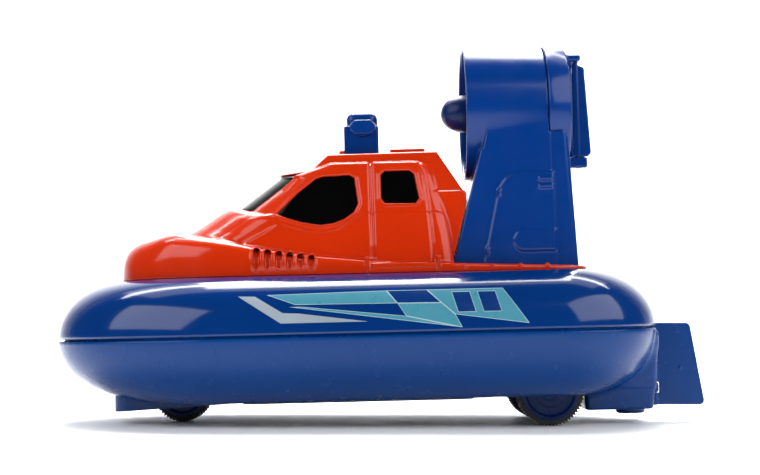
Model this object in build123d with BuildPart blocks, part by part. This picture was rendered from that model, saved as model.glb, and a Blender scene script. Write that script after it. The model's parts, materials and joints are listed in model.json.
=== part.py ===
"""Toy radio-controlled hovercraft: a two-shell hull on small wheels, a cabin and a ducted fan tower.

Everything is drawn in the hull's own level frame: the origin lies on the seam plane between the two hull
shells, +X runs aft, -Y is port and +Z is up. The rear wheels are larger than the front one, so the hull
stands slightly bow down. STANCE holds that tilt and puts the floor under the wheels at z = 0.
"""
import os
from math import acos, asin, atan2, cos, hypot, pi, radians, sin, tan

from build123d import *

os.makedirs("parts", exist_ok=True)

# Hull
BOW_X = -137.4
STERN_X = 113.8
HALF_BEAM = 61.0
BOW_CENTRE_X = -64.0
STERN_CORNER = (42.0, 48.0)
UPPER_HEIGHT = 24.3
UPPER_INSETS = (28.8, 23.0, 28.8)
LOWER_DEPTH = 26.6
LOWER_INSETS = (44.6, 21.0, 30.0)
SEAM_GAP = 0.4
WALL = 1.8
SLOT = 0.3
MIDSHIP_SHIFT = -0.11

# Wheels
FRONT_X, FRONT_Z, FRONT_R, FRONT_WIDTH = -85.2, -22.9, 12.6, 10.0
REAR_X, REAR_Z, REAR_R, REAR_WIDTH = 68.0, -25.3, 13.9, 9.0
REAR_OUTER_Y = 29.7
AXLE_R = 1.5
TYRE_DEPTH = 2.2
RIB = 0.7

# Superstructure: height, front x, half width and rear x of the cabin at each crease
CABIN_LEVELS = (
    (24.3, -86.0, 33.0, 29.0),
    (36.0, -85.0, 32.0, 31.5),
    (43.0, -83.0, 30.6, 33.0),
    (54.5, -61.0, 28.0, 35.6),
    (58.0, -55.5, 26.8, 36.3),
    (68.0, -41.5, 23.2, 29.0),
    (71.2, -27.0, 21.5, 27.0),
)
CABIN_NOSE = 28.0
QUARTER_WINDOW = (
    (-41.0, 50.0), (-24.0, 64.6), (-11.2, 65.0), (-9.6, 53.0), (-13.5, 48.0), (-24.0, 45.4), (-33.0, 47.0),
)
DOOR_WINDOW = ((1.0, 66.6), (14.6, 66.4), (16.2, 53.4), (1.2, 54.0))
COWL_NOSE_X = -110.3
COWL_END_X = 86.2
COWL_HALF_WIDTH = 37.5
COWL_NOSE = 45.0
COWL_SHOULDER_X = 30.0
COWL_END_HALF = 30.5
DECK_Z = 24.3
ROOF_Z = 75.4
ROOF_FRONT, ROOF_REAR, ROOF_HALF_WIDTH = -25.0, 24.6, 18.0

# Fan tower
DUCT_FRONT, DUCT_REAR, DUCT_Z = 37.0, 73.0, 93.4
DUCT_R_FRONT, DUCT_R_REAR = 28.8, 27.2
DUCT_WALL = 1.7
RING_END = 81.0
TOWER_HALF_WIDTH = 26.9
FAN_R = 25.0
HUB_R = 8.0
VANE_Y, VANE_X = 10.0, 85.0

# Searchlight
LIGHT_X = -6.5
POST_TOP = 88.8

# Battery bay
BAY_FRONT, BAY_REAR, BAY_HALF_WIDTH, BAY_TOP = -56.0, 35.0, 28.0, -8.0
CELL_R, CELL_LENGTH, CELL_COUNT, CELL_PITCH = 7.1, 49.5, 6, 14.6

# Gears
MODULE = 0.5
BACKLASH = 0.07
PRESSURE_ANGLE = radians(20)
AXLE_TEETH, DRIVE_TEETH = 28, 12
STEER_TEETH, SERVO_TEETH = 32, 12
DRIVE_ANGLE = 110.0

# The tilt that sets both wheel sizes on the floor
span_x = REAR_X - FRONT_X
span_z = REAR_Z - FRONT_Z
pitch = asin((REAR_R - FRONT_R) / hypot(span_x, span_z)) - atan2(span_z, span_x)
seam_height = FRONT_R - FRONT_X * sin(pitch) - FRONT_Z * cos(pitch)
STANCE = Plane(
    origin=(MIDSHIP_SHIFT, 0, seam_height),
    x_dir=(cos(pitch), 0, sin(pitch)),
    z_dir=(-sin(pitch), 0, cos(pitch)),
).location


def save(piece, name):
    """Stand a finished piece in the tilted hull and write it as one node."""
    piece.part.label = name
    placed = piece.part.moved(STANCE)
    placed.label = name
    export_step(placed, f"parts/{name}.step")


def hull_section(z, bow, side, stern):
    """Plan outline at one height: half-ellipse bow, straight sides, elliptical stern corners."""
    half = HALF_BEAM - side
    flat = HALF_BEAM - STERN_CORNER[1]
    corner_x = STERN_X - STERN_CORNER[0]
    with BuildSketch(Plane.XY.offset(z)) as section:
        with BuildLine():
            EllipticalCenterArc((BOW_CENTRE_X, 0), BOW_CENTRE_X - BOW_X - bow, half, 90, arc_size=180)
            Line((BOW_CENTRE_X, -half), (corner_x, -half))
            EllipticalCenterArc((corner_x, -flat), STERN_CORNER[0] - stern, half - flat, 270, arc_size=90)
            Line((STERN_X - stern, -flat), (STERN_X - stern, flat))
            EllipticalCenterArc((corner_x, flat), STERN_CORNER[0] - stern, half - flat, 0, arc_size=90)
            Line((corner_x, half), (BOW_CENTRE_X, half))
        make_face()
    return section.sketch


def bulged_shell(start, height, insets, wall, mode=Mode.ADD):
    """Loft a skirt-like bulge from the seam plane up or down; wall shrinks it for the inside."""
    direction = 1 if height > 0 else -1
    sections = []
    for angle in (0, 18, 36, 54, 70, 82, 90):
        z = start + (height - start - direction * wall) * sin(radians(angle))
        growth = 1 - cos(radians(angle))
        sizes = [wall + (inset - wall) * growth for inset in insets]
        sections.append(hull_section(z, *sizes))
    loft(sections, mode=mode)


def tooth_flank(teeth):
    """Half of one tooth as (radius, half angle) pairs from root to tip, on an involute."""
    pitch_r = teeth * MODULE / 2
    base_r = pitch_r * cos(PRESSURE_ANGLE)
    root_r = pitch_r - 1.3 * MODULE
    tip_r = pitch_r + 0.8 * MODULE
    involute = tan(PRESSURE_ANGLE) - PRESSURE_ANGLE
    half_angle = pi / (2 * teeth) - BACKLASH / pitch_r
    low_r = max(root_r, base_r)
    flank = [(root_r, half_angle + involute)] if root_r < base_r else []
    for step in range(5):
        r = low_r + (tip_r - low_r) * step / 4
        roll = acos(min(1.0, base_r / r))
        flank.append((r, half_angle + involute - (tan(roll) - roll)))
    return flank


def gear_face(plane, teeth, bore, turn=0.0):
    """Spur gear outline with one tooth pointing turn degrees from the plane's x axis."""
    flank = tooth_flank(teeth)
    points = []
    for tooth in range(teeth):
        centre = radians(turn) + 2 * pi * tooth / teeth
        for r, half in flank:
            points.append((r * cos(centre - half), r * sin(centre - half)))
        for r, half in reversed(flank):
            points.append((r * cos(centre + half), r * sin(centre + half)))
    with BuildSketch(plane) as face:
        with BuildLine():
            Polyline(*points, close=True)
        make_face()
        Circle(bore, mode=Mode.SUBTRACT)
    return face.sketch


def toothed_ring(plane, radius, inner, teeth):
    """Tyre outline: a ring with shallow cross ribs."""
    step = 2 * pi / teeth
    points = []
    for tooth in range(teeth):
        for share, r in ((0.0, radius - RIB), (0.2, radius), (0.55, radius), (0.75, radius - RIB)):
            angle = (tooth + share) * step
            points.append((r * cos(angle), r * sin(angle)))
    with BuildSketch(plane) as face:
        with BuildLine():
            Polyline(*points, close=True)
        make_face()
        Circle(inner, mode=Mode.SUBTRACT)
    return face.sketch


def disc(plane, radius, bore=0.0):
    """A round face, with a hole when a bore is given."""
    with BuildSketch(plane) as face:
        Circle(radius)
        if bore:
            Circle(bore, mode=Mode.SUBTRACT)
    return face.sketch


def block(x_range, y_range, z_range, mode=Mode.ADD):
    """A box between three pairs of coordinates."""
    sizes = [high - low for low, high in (x_range, y_range, z_range)]
    middle = [(high + low) / 2 for low, high in (x_range, y_range, z_range)]
    with Locations(tuple(middle)):
        Box(*sizes, mode=mode)


def across(x, z, y=0.0):
    """Plane whose z axis lies along +Y, for pieces on a crosswise axle."""
    return Plane(origin=(x, y, z), x_dir=(1, 0, 0), z_dir=(0, 1, 0))


def along(z, x=0.0, y=0.0):
    """Plane facing aft, for pieces on a lengthwise shaft."""
    return Plane(origin=(x, y, z), x_dir=(0, 1, 0), z_dir=(1, 0, 0))


def level(z, x=0.0, y=0.0):
    """Horizontal plane at one height, centred on a point."""
    return Plane(origin=(x, y, z))


def cabin_section(z, front, half, rear):
    """Cabin plan outline: rounded front, parallel sides, square back."""
    nose = min(CABIN_NOSE, half)
    with BuildSketch(Plane.XY.offset(z)) as section:
        with BuildLine():
            EllipticalCenterArc((front + nose, 0), nose, half, 90, arc_size=180)
            Line((front + nose, -half), (rear, -half))
            Line((rear, -half), (rear, half))
            Line((rear, half), (front + nose, half))
        make_face()
    return section.sketch


def cabin_body(wall, mode=Mode.ADD):
    """Straight-sided loft through the cabin's creases; wall shrinks it for the inside."""
    sections = []
    for z, front, half, rear in CABIN_LEVELS:
        sections.append(cabin_section(z - wall, front + 1.2 * wall, half - wall, rear - 1.2 * wall))
    loft(sections, ruled=True, mode=mode)


def cowl_plan(wall):
    """Plan of the nose tier, the side shoulders and the deck flange that tapers aft."""
    front = COWL_NOSE_X + wall
    half = COWL_HALF_WIDTH - wall
    end = COWL_END_X - wall
    with BuildSketch(Plane.XY.offset(DECK_Z - wall)) as plan:
        with BuildLine():
            EllipticalCenterArc((front + COWL_NOSE, 0), COWL_NOSE, half, 90, arc_size=180)
            Line((front + COWL_NOSE, -half), (COWL_SHOULDER_X, -half))
            Line((COWL_SHOULDER_X, -half), (end, -COWL_END_HALF))
            Line((end, -COWL_END_HALF), (end, COWL_END_HALF))
            Line((end, COWL_END_HALF), (COWL_SHOULDER_X, half))
            Line((COWL_SHOULDER_X, half), (front + COWL_NOSE, half))
        make_face()
        fillet(plan.vertices().group_by(Axis.X)[-1], radius=9)
    return plan.sketch


def above_cowl(drop):
    """Everything above the cowl's sloping top: high at the nose, thin over the after deck."""
    with BuildSketch(Plane.XZ) as side:
        with BuildLine():
            Polyline(
                (-120, 70), (-120, 26), (-110.2 + drop, 26), (-109.2 + drop, 31), (-107.2 + drop, 35),
                (-103.5 + drop, 38.4 - drop), (-97.5, 41 - drop), (-84, 43 - drop), (-69, 40.5 - drop),
                (-50, 36.5 - drop), (-24, 32 - drop), (30, 28.6 - drop), (80, 26.6 - drop),
                (95, 25.4 - drop), (95, 70), close=True,
            )
        make_face()
    return side.sketch


def side_window(y, corners):
    """A rounded window outline on a lengthwise plane at y."""
    with BuildSketch(Plane.XZ.offset(-y)) as window:
        with BuildLine():
            Polyline(*corners, close=True)
        make_face()
        fillet(window.vertices(), radius=1.6)
    return window.sketch


def windscreen_outline():
    """The windscreen as seen from ahead."""
    with BuildSketch(Plane.YZ.offset(-75)) as screen:
        with BuildLine():
            Polyline(
                (-20.0, 54.0), (20.0, 54.0), (17.5, 65.6), (13.0, 67.2), (-13.0, 67.2), (-17.5, 65.6),
                close=True,
            )
        make_face()
    return screen.sketch


# ---------------------------------------------------------------- hull shells

screw_places = [(-92, 24), (-92, -24), (-40, 41), (-40, -41), (46, 41), (46, -41), (88, 24), (88, -24)]
tower_screw_places = [(36.8, 14), (36.8, -14), (75.4, 14), (75.4, -14)]
LUG_X = 115.8

with BuildPart() as upper_hull:
    bulged_shell(SEAM_GAP, UPPER_HEIGHT, UPPER_INSETS, 0.0)
    bulged_shell(SEAM_GAP, UPPER_HEIGHT, UPPER_INSETS, WALL, mode=Mode.SUBTRACT)
    with BuildSketch(level(SEAM_GAP)):
        with Locations(*screw_places):
            Circle(3.2)
    extrude(amount=22.4)
    with BuildSketch(level(SEAM_GAP)):
        with Locations(*screw_places):
            Circle(1.3)
    extrude(amount=12, mode=Mode.SUBTRACT)
    with BuildSketch(level(UPPER_HEIGHT - 6)):
        with Locations((-30, 0)):
            RectangleRounded(86, 44, 4)
        with Locations((56, 0)):
            RectangleRounded(32, 36, 4)
    extrude(amount=12, mode=Mode.SUBTRACT)
    with BuildSketch(level(UPPER_HEIGHT - 6)):
        with Locations(*tower_screw_places):
            Circle(1.5)
    extrude(amount=12, mode=Mode.SUBTRACT)

with BuildPart() as lower_hull:
    bulged_shell(-SEAM_GAP, -LOWER_DEPTH, LOWER_INSETS, 0.0)
    with BuildSketch(level(-34.6)):
        with Locations((98.6, 0)):
            RectangleRounded(30.6, 37, 2.5)
    extrude(amount=31.5)
    bulged_shell(-SEAM_GAP, -LOWER_DEPTH, LOWER_INSETS, WALL, mode=Mode.SUBTRACT)
    # Tongue that locates the upper shell
    extrude(hull_section(-SEAM_GAP - 3, 2.0, 2.0, 2.0), amount=5)
    extrude(hull_section(-SEAM_GAP - 3, 3.2, 3.2, 3.2), amount=5, mode=Mode.SUBTRACT)
    # Screw posts and wheel wells
    with BuildSketch(level(-SEAM_GAP)):
        with Locations(*screw_places):
            Circle(3.2)
    extrude(amount=-24.4)
    for side in (-1, 1):
        block((REAR_X - 17.5, REAR_X + 17.5), sorted((side * 18.2, side * 31.8)), (-26, -8.6))
        block((REAR_X - 16, REAR_X + 16), sorted((side * 19.7, side * 30.3)), (-40, -10.1), Mode.SUBTRACT)
    extrude(disc(level(-25.5, FRONT_X), 18.9, 17.4), amount=14)
    extrude(disc(level(-40, FRONT_X), 17.4), amount=28, mode=Mode.SUBTRACT)
    block((BAY_FRONT, BAY_REAR), (-BAY_HALF_WIDTH, BAY_HALF_WIDTH), (-30, -16), Mode.SUBTRACT)
    block((54.5, 81.5), (-18.2, 18.2), (-30, -16), Mode.SUBTRACT)
    block((40.2, 47.8), (-2.2, 2.2), (-30, -20), Mode.SUBTRACT)
    with BuildSketch(level(-40)):
        with Locations(*screw_places):
            Circle(1.5)
    extrude(amount=45, mode=Mode.SUBTRACT)
    with BuildSketch(level(-40)):
        with Locations(*screw_places):
            Circle(2.6)
    extrude(amount=20, mode=Mode.SUBTRACT)
    extrude(disc(across(REAR_X, REAR_Z, -31), AXLE_R + 0.4), amount=62, mode=Mode.SUBTRACT)
    # Rudder lugs on the stern block
    for top in (-8, -24):
        block((112.5, LUG_X), (-1.7, 1.7), (top - 4, top))
        extrude(disc(level(top, LUG_X), 1.7), amount=-4)
        extrude(disc(level(top, LUG_X), 1.05), amount=-4, mode=Mode.SUBTRACT)

save(upper_hull, "upper_hull")
save(lower_hull, "lower_hull")

# ---------------------------------------------------------------- superstructure and glazing

with BuildPart() as cowl_hollow:
    extrude(cowl_plan(WALL), amount=20)
    extrude(above_cowl(WALL), amount=60, both=True, mode=Mode.SUBTRACT)

with BuildPart() as superstructure:
    extrude(cowl_plan(0.0), amount=20)
    extrude(above_cowl(0.0), amount=60, both=True, mode=Mode.SUBTRACT)
    cabin_body(0.0)
    with BuildSketch(level(70.5)):
        with Locations(((ROOF_FRONT + ROOF_REAR) / 2, 0)):
            RectangleRounded(ROOF_REAR - ROOF_FRONT, 2 * ROOF_HALF_WIDTH, 3)
    extrude(amount=ROOF_Z - 70.5, taper=18)
    cabin_body(WALL, mode=Mode.SUBTRACT)
    add(cowl_hollow.part, mode=Mode.SUBTRACT)
    block((ROOF_FRONT + 4, ROOF_REAR - 4), (-14, 14), (60, ROOF_Z - WALL), Mode.SUBTRACT)
    block((28, 82.2), (-27.1, 27.1), (DECK_Z - 1, 33), Mode.SUBTRACT)
    for side in (-1, 1):
        for corners in (QUARTER_WINDOW, DOOR_WINDOW):
            extrude(side_window(8 * side, corners), amount=-30 * side, mode=Mode.SUBTRACT)
    extrude(windscreen_outline(), amount=44, mode=Mode.SUBTRACT)
    extrude(disc(level(60, LIGHT_X), 3.6), amount=30, mode=Mode.SUBTRACT)

save(superstructure, "superstructure")

for side_name, side in (("port", -1), ("starboard", 1)):
    for window_name, corners in (("quarter_window", QUARTER_WINDOW), ("door_window", DOOR_WINDOW)):
        with BuildPart() as pane:
            cabin_body(0.9)
            cabin_body(2.3, mode=Mode.SUBTRACT)
            extrude(side_window(8 * side, corners), amount=-30 * side, mode=Mode.INTERSECT)
        save(pane, f"{window_name}_{side_name}")

with BuildPart() as windscreen:
    cabin_body(0.9)
    cabin_body(2.3, mode=Mode.SUBTRACT)
    extrude(windscreen_outline(), amount=44, mode=Mode.INTERSECT)
save(windscreen, "windscreen")

# ---------------------------------------------------------------- searchlight

with BuildPart() as searchlight_post:
    with BuildSketch(level(ROOF_Z + SLOT, LIGHT_X - 0.4)):
        RectangleRounded(14.8, 12.4, 1.5)
    extrude(amount=POST_TOP - ROOF_Z - SLOT)
    block((LIGHT_X - 9, LIGHT_X + 9), (-4.3, 4.3), (ROOF_Z + 3.2, 100), Mode.SUBTRACT)
    extrude(disc(across(LIGHT_X, 85.4, -8), 1.56), amount=16, mode=Mode.SUBTRACT)
    extrude(disc(level(ROOF_Z + 1, LIGHT_X), 3.5), amount=-3.2)
    extrude(disc(level(ROOF_Z - 2.2, LIGHT_X), 5.0), amount=-1.4)
save(searchlight_post, "searchlight_post")

with BuildPart() as searchlight_head:
    with BuildSketch(across(LIGHT_X, 87.9, -4.0)):
        RectangleRounded(13.4, 14.0, 3.6)
    extrude(amount=8.0)
    fillet(searchlight_head.edges().filter_by(Axis.Y, reverse=True).group_by(Axis.Y)[0], radius=1.2)
    fillet(searchlight_head.edges().filter_by(Axis.Y, reverse=True).group_by(Axis.Y)[-1], radius=1.2)
    with Locations((LIGHT_X - 6.0, 0, 88.4)):
        Cylinder(2.6, 3.2, rotation=(0, 90, 0), mode=Mode.SUBTRACT)
    with Locations((LIGHT_X - 3.0, 0, 88.4)):
        Cylinder(1.9, 4.0, rotation=(0, 90, 0), mode=Mode.SUBTRACT)
    extrude(disc(across(LIGHT_X, 85.4, -6.6), 1.5), amount=13.2)
save(searchlight_head, "searchlight_head")

for side_name, side in (("port", -1), ("starboard", 1)):
    with BuildPart() as boss:
        with BuildSketch(across(LIGHT_X + 0.3, 87.8, side * 6.6)):
            Rectangle(11.4, 6.8)
            chamfer(vertices(), length=2.2)
        extrude(amount=side * 1.8, taper=14)
    save(boss, f"searchlight_boss_{side_name}")

with BuildPart() as searchlight_lens:
    extrude(disc(along(88.4, LIGHT_X - 6.5), 2.5), amount=1.2)
save(searchlight_lens, "searchlight_lens")

with BuildPart() as searchlight_lamp:
    extrude(disc(along(88.4, LIGHT_X - 4.0), 1.5), amount=2.8)
save(searchlight_lamp, "searchlight_lamp")

# ---------------------------------------------------------------- fan tower

with BuildPart() as tower:
    with BuildSketch(Plane.XZ):
        with BuildLine():
            Polyline((28.9, DECK_Z), (81.9, DECK_Z), (78.4, DUCT_Z), (47.6, DUCT_Z), close=True)
        make_face()
    extrude(amount=TOWER_HALF_WIDTH, both=True)
    with BuildSketch(Plane.XZ):
        with BuildLine():
            Polyline((32.6, DECK_Z), (78.6, DECK_Z), (76.2, 62), (42.0, 62), close=True)
        make_face()
    extrude(amount=TOWER_HALF_WIDTH - WALL, both=True, mode=Mode.SUBTRACT)
    with BuildSketch(level(DECK_Z)):
        with Locations(*tower_screw_places):
            Circle(2.8)
    extrude(amount=12)
    with BuildSketch(level(DECK_Z)):
        with Locations(*tower_screw_places):
            Circle(1.3)
    extrude(amount=10, mode=Mode.SUBTRACT)
    loft([disc(along(DUCT_Z, DUCT_FRONT), DUCT_R_FRONT), disc(along(DUCT_Z, DUCT_REAR), DUCT_R_REAR)])
    loft(
        [
            disc(along(DUCT_Z, DUCT_FRONT), DUCT_R_FRONT - DUCT_WALL),
            disc(along(DUCT_Z, RING_END), DUCT_R_REAR - DUCT_WALL - 0.4),
        ],
        mode=Mode.SUBTRACT,
    )
    extrude(disc(along(DUCT_Z, DUCT_REAR - 2.0), 28.5, DUCT_R_REAR), amount=3, mode=Mode.SUBTRACT)
    extrude(disc(along(DUCT_Z, DUCT_REAR), DUCT_R_REAR + 1.4), amount=20, mode=Mode.SUBTRACT)

for side_name, side in (("port", -1), ("starboard", 1)):
    with BuildPart() as half:
        add(tower.part)
        split(bisect_by=Plane.XZ, keep=Keep.TOP if side < 0 else Keep.BOTTOM)
    save(half, f"tower_half_{side_name}")

with BuildPart() as duct_ring:
    loft([disc(along(DUCT_Z, DUCT_REAR - 2.0), 28.2), disc(along(DUCT_Z, RING_END), 26.4)])
    extrude(disc(along(DUCT_Z, DUCT_REAR - 3.0), DUCT_R_REAR), amount=3.0, mode=Mode.SUBTRACT)
    extrude(disc(along(DUCT_Z, DUCT_REAR), 25.0), amount=20, mode=Mode.SUBTRACT)
    # Motor cup held by four spokes
    for turn in (45, 135, 225, 315):
        spoke = along(DUCT_Z, RING_END - 3).rotated((turn, 0, 0))
        with BuildSketch(spoke):
            with Locations((17.5, 0)):
                Rectangle(17, 1.8)
        extrude(amount=-5)
    extrude(disc(along(DUCT_Z, RING_END - 3), 9.6), amount=-14)
    extrude(disc(along(DUCT_Z, RING_END - 4.4), 8.1), amount=-14, mode=Mode.SUBTRACT)
    # Brackets that hold the air rudders
    block((RING_END - 4, VANE_X + 3.6), (-12, 12), (67.8, 72.3))
    block((RING_END - 4, VANE_X + 1.6), (-15, 15), (112.9, 115.5))
    for z in (66, 112):
        for y in (-VANE_Y, VANE_Y):
            extrude(disc(level(z, VANE_X, y), 1.06), amount=7, mode=Mode.SUBTRACT)
save(duct_ring, "duct_ring")

with BuildPart() as fan_motor:
    extrude(disc(along(DUCT_Z, 58), 8.0), amount=18.5)
    extrude(disc(along(DUCT_Z, 56.6), 2.8), amount=1.4)
    extrude(disc(along(DUCT_Z, 56.0), 1.06), amount=18, mode=Mode.SUBTRACT)
save(fan_motor, "fan_motor")

with BuildPart() as fan_shaft:
    extrude(disc(along(DUCT_Z, 44), 1.0), amount=28)
save(fan_shaft, "fan_shaft")

with BuildPart() as fan:
    extrude(disc(along(DUCT_Z, 40), HUB_R), amount=13)
    extrude(disc(along(DUCT_Z, 44), 1.0), amount=14, mode=Mode.SUBTRACT)
    extrude(disc(along(DUCT_Z, 50), 6.6), amount=4, mode=Mode.SUBTRACT)
    for blade in range(5):
        root = Plane(origin=(46.5, 0, DUCT_Z), x_dir=(1, 0, 0), z_dir=(0, 0, 1)).rotated((72 * blade, 0, 0))
        chords = []
        for r, chord, twist in ((6.5, 9.0, 50), (16, 10.5, 35), (FAN_R, 9.0, 24)):
            with BuildSketch(root.offset(r)) as section:
                SlotOverall(chord, 1.4, rotation=twist)
            chords.append(section.sketch)
        loft(chords)
save(fan, "fan")

with BuildPart() as spinner:
    with BuildSketch(Plane.XZ):
        with BuildLine():
            Line((27.6, DUCT_Z), (40, DUCT_Z))
            Line((40, DUCT_Z), (40, DUCT_Z + HUB_R))
            Line((40, DUCT_Z + HUB_R), (37, DUCT_Z + HUB_R))
            EllipticalCenterArc((37, DUCT_Z), 9.4, HUB_R, 90, arc_size=90)
        make_face()
    revolve(axis=Axis((0, 0, DUCT_Z), (1, 0, 0)))
save(spinner, "spinner")

for side_name, side in (("port", -1), ("starboard", 1)):
    with BuildPart() as vane:
        with BuildSketch(Plane.XZ.offset(-side * VANE_Y)):
            with BuildLine():
                Polyline((83.4, 112.6), (88.6, 110.6), (90.5, 74.1), (89.2, 72.6), (83.0, 72.6), close=True)
            make_face()
        extrude(amount=0.9, both=True)
        extrude(disc(level(68.0, VANE_X, side * VANE_Y), 1.0), amount=47.2)
    save(vane, f"air_rudder_{side_name}")

# ---------------------------------------------------------------- water rudder

with BuildPart() as water_rudder:
    with BuildSketch(Plane.XZ):
        with BuildLine():
            Polyline((LUG_X, 1.6), (131.6, 1.2), (137.2, -33.8), (LUG_X, -33.3), close=True)
        make_face()
        fillet(vertices().group_by(Axis.X)[-1] + vertices().group_by(Axis.X)[-2], radius=2.0)
    extrude(amount=1.0, both=True)
    extrude(disc(level(1.2, LUG_X), 1.7), amount=-34.6)
    for top in (-7.75, -23.75):
        block((112, LUG_X + 1.95), (-3, 3), (top - 4.5, top), Mode.SUBTRACT)
    extrude(disc(level(2, LUG_X), 1.0), amount=-40, mode=Mode.SUBTRACT)
save(water_rudder, "water_rudder")

with BuildPart() as rudder_pin:
    extrude(disc(level(1.4, LUG_X), 0.95), amount=-35)
save(rudder_pin, "rudder_pin")

# ---------------------------------------------------------------- wheels and drive

for side_name, side in (("port", -1), ("starboard", 1)):
    middle = side * (REAR_OUTER_Y - REAR_WIDTH / 2)
    with BuildPart() as hub:
        centre = across(REAR_X, REAR_Z, middle)
        extrude(disc(centre, REAR_R - TYRE_DEPTH, AXLE_R), amount=REAR_WIDTH / 2, both=True)
        outer = across(REAR_X, REAR_Z, middle + side * REAR_WIDTH / 2)
        extrude(disc(outer, REAR_R - 4.4, 4.0), amount=-side * 0.8, mode=Mode.SUBTRACT)
    save(hub, f"rear_hub_{side_name}")
    with BuildPart() as tyre:
        ring = toothed_ring(across(REAR_X, REAR_Z, middle), REAR_R, REAR_R - TYRE_DEPTH, 60)
        extrude(ring, amount=REAR_WIDTH / 2 - 0.4, both=True)
    save(tyre, f"rear_tyre_{side_name}")

with BuildPart() as rear_axle:
    extrude(disc(across(REAR_X, REAR_Z), AXLE_R), amount=REAR_OUTER_Y - 0.6, both=True)
save(rear_axle, "rear_axle")

with BuildPart() as axle_gear:
    extrude(gear_face(across(REAR_X, REAR_Z, 6), AXLE_TEETH, AXLE_R, turn=-DRIVE_ANGLE), amount=4)
    extrude(disc(across(REAR_X, REAR_Z, 10), 3.2, AXLE_R), amount=4)
save(axle_gear, "axle_gear")

drive_distance = MODULE * (AXLE_TEETH + DRIVE_TEETH) / 2
drive_x = REAR_X + drive_distance * cos(radians(DRIVE_ANGLE))
drive_z = REAR_Z + drive_distance * sin(radians(DRIVE_ANGLE))
half_tooth = 180 / DRIVE_TEETH

with BuildPart() as drive_pinion:
    gap_turn = 180 - DRIVE_ANGLE + half_tooth
    extrude(gear_face(across(drive_x, drive_z, 6), DRIVE_TEETH, 0.9, turn=gap_turn), amount=4)
save(drive_pinion, "drive_pinion")

with BuildPart() as drive_shaft:
    extrude(disc(across(drive_x, drive_z, -14), 0.9), amount=24.6)
save(drive_shaft, "drive_shaft")

with BuildPart() as drive_motor:
    with BuildSketch(across(drive_x, drive_z, -14)):
        Circle(7.5)
        Circle(0.96, mode=Mode.SUBTRACT)
    extrude(amount=18)
    extrude(disc(across(drive_x, drive_z, 4), 2.6, 0.96), amount=1.2)
save(drive_motor, "drive_motor")

with BuildPart() as motor_clamp:
    extrude(disc(across(drive_x, drive_z, -10), 8.5, 7.55), amount=8)
    block((51, drive_x - 3.4), (-10, -2), (-24.55, -23.5))
save(motor_clamp, "motor_clamp")

with BuildPart() as gearbox_tray:
    block((53, 83), (-19, 19), (-27.6, -LOWER_DEPTH))
    block((54.8, 81.2), (-17.9, 17.9), (-LOWER_DEPTH, -24.7))
    extrude(disc(across(REAR_X, REAR_Z, -17.9), 9.8), amount=35.8)
    block((REAR_X - 12, REAR_X + 12), (-18, 18), (-24.7, -10), Mode.SUBTRACT)
    for side in (-1, 1):
        block((REAR_X - 5, REAR_X + 5), sorted((side * 16.2, side * 17.9)), (-27, -21))
    extrude(disc(across(REAR_X, REAR_Z, -16.2), 8.3), amount=32.4, mode=Mode.SUBTRACT)
    extrude(disc(across(REAR_X, REAR_Z, -20), 2.6), amount=40, mode=Mode.SUBTRACT)
save(gearbox_tray, "gearbox_tray")

with BuildPart() as axle_bushes:
    for side in (-1, 1):
        extrude(disc(across(REAR_X, REAR_Z, side * 16.3), 2.6, AXLE_R + 0.05), amount=side * 1.6)
save(axle_bushes, "axle_bushes")

# ---------------------------------------------------------------- steered front wheel

with BuildPart() as front_housing:
    with BuildSketch(Plane.XZ):
        with BuildLine():
            Polyline((-112.4, -10), (-112.4, -29.8), (-111.2, -30), (-60, -27.6), (-60, -10), close=True)
        make_face()
    extrude(amount=19, both=True)
    fillet(front_housing.edges().filter_by(Axis.Z), radius=6)
    bulged_shell(-SEAM_GAP, -LOWER_DEPTH, LOWER_INSETS, 0.0, mode=Mode.SUBTRACT)
    extrude(disc(level(-28, FRONT_X), 17.1), amount=22)
    extrude(disc(level(-40, FRONT_X), 15.2), amount=32.2, mode=Mode.SUBTRACT)
    extrude(disc(level(-10, FRONT_X), 1.56), amount=10, mode=Mode.SUBTRACT)
save(front_housing, "front_wheel_housing")

with BuildPart() as steering_fork:
    extrude(disc(level(-9.9, FRONT_X), 9.0), amount=1.6)
    for side in (-1, 1):
        block((FRONT_X - 3.5, FRONT_X + 3.5), sorted((side * 5.4, side * 6.9)), (-26, -9))
    extrude(disc(level(-9, FRONT_X), 1.5), amount=9)
    extrude(disc(across(FRONT_X, FRONT_Z, -8), 1.0), amount=16, mode=Mode.SUBTRACT)
save(steering_fork, "steering_fork")

with BuildPart() as front_axle:
    extrude(disc(across(FRONT_X, FRONT_Z), 1.0), amount=6.9, both=True)
save(front_axle, "front_axle")

with BuildPart() as front_hub:
    extrude(disc(across(FRONT_X, FRONT_Z), FRONT_R - TYRE_DEPTH, 1.06), amount=FRONT_WIDTH / 2, both=True)
save(front_hub, "front_hub")

with BuildPart() as front_tyre:
    ring = toothed_ring(across(FRONT_X, FRONT_Z), FRONT_R, FRONT_R - TYRE_DEPTH, 54)
    extrude(ring, amount=FRONT_WIDTH / 2 - 0.3, both=True)
save(front_tyre, "front_tyre")

servo_x = FRONT_X + MODULE * (STEER_TEETH + SERVO_TEETH) / 2

with BuildPart() as steering_gear:
    extrude(gear_face(level(-5.4, FRONT_X), STEER_TEETH, 1.5), amount=3.5)
save(steering_gear, "steering_gear")

with BuildPart() as steering_pinion:
    turn = 180 + 180 / SERVO_TEETH
    extrude(gear_face(level(-5.4, servo_x), SERVO_TEETH, 0.9, turn=turn), amount=3.5)
save(steering_pinion, "steering_pinion")

with BuildPart() as steering_shaft:
    extrude(disc(level(-5.4, servo_x), 0.9), amount=19)
save(steering_shaft, "steering_shaft")

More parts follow.
